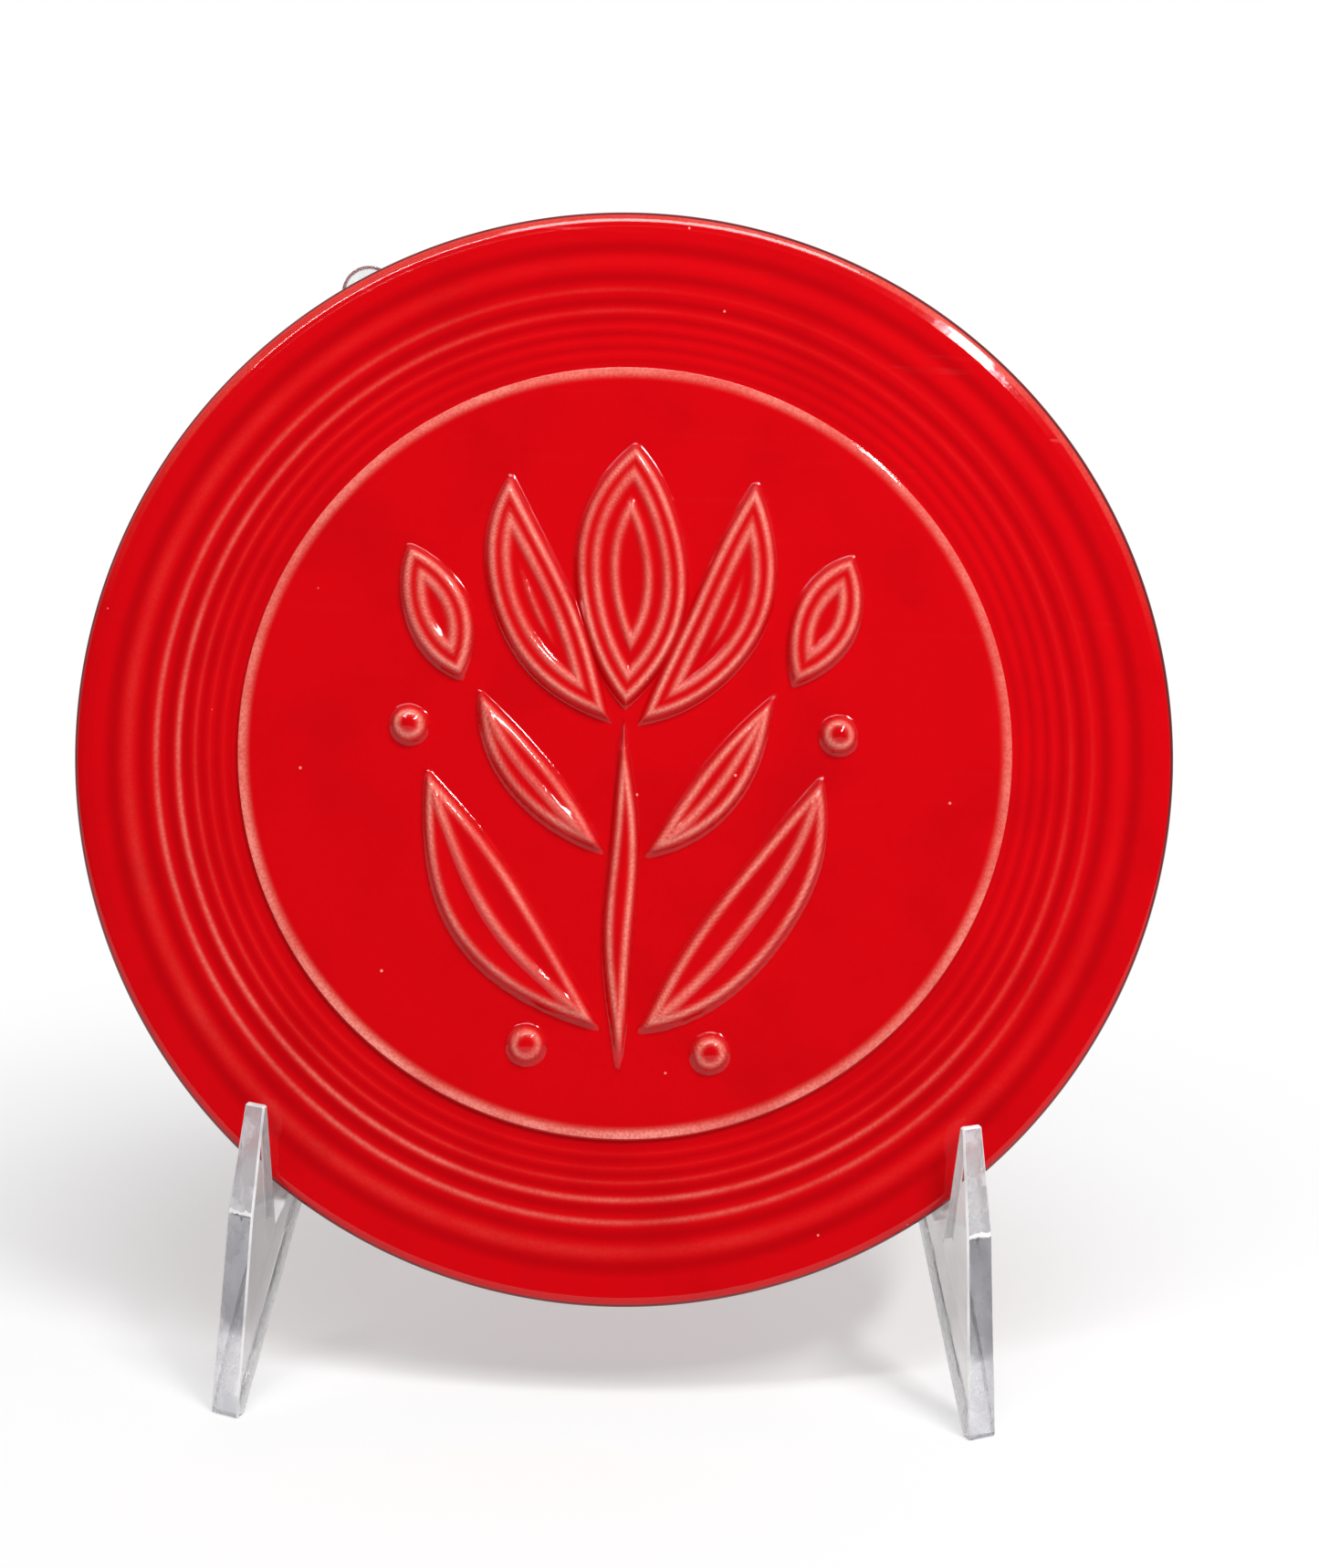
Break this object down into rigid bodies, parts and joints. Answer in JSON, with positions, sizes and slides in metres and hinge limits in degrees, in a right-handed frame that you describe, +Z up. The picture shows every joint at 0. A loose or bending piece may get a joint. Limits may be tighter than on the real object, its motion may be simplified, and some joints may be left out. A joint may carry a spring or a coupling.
{
  "type": "relief plaque on easel",
  "caption": "Round red glazed ceramic plaque with turned rings and a floral relief, standing on a folding clear acrylic easel that hinges at the back.",
  "frame": {"origin": "on the floor, at the centre of the object's footprint", "axes": "+Z up, +X to the viewer's right, the plaque faces -Y"},
  "size_m": [0.152, 0.1132, 0.1604],
  "materials": {
    "red_glaze": "gloss glaze, thin and pale on raised edges",
    "clear_bumper": "clear soft dome",
    "clear_acrylic": "clear, scuffed edges",
    "pin_steel": "satin",
    "cap_steel": "satin"
  },
  "bodies": {
    "hinge": {"hinge_pin": "pin_steel", "pin_cap": "cap_steel"},
    "left_leg": {"left_leg": "clear_acrylic"},
    "right_leg": {"right_leg": "clear_acrylic"},
    "plaque": {"plaque": "red_glaze", "edge_bumper": "clear_bumper", "right_bumper": "clear_bumper", "lower_bumper": "clear_bumper", "left_bumper": "clear_bumper"}
  },
  "joints": [
    {"name": "plaque_lift", "type": "slide", "parent": "hinge", "child": "plaque", "axis": [0, 0, 1], "range_m": [0, 0.1]},
    {"name": "left_leg_fold", "type": "hinge", "parent": "hinge", "child": "left_leg", "pos_m": [0, 0.0532, 0.03], "axis": [0, 0, 1], "range_deg": [0, 24]},
    {"name": "right_leg_fold", "type": "hinge", "parent": "hinge", "child": "right_leg", "pos_m": [0, 0.0532, 0.03], "axis": [0, 0, -1], "range_deg": [0, 24]}
  ],
  "couplings": [
    {"joint": "left_leg_fold", "follows": "plaque_lift", "rad_per_m": 4.188},
    {"joint": "right_leg_fold", "follows": "plaque_lift", "rad_per_m": 4.188}
  ]
}
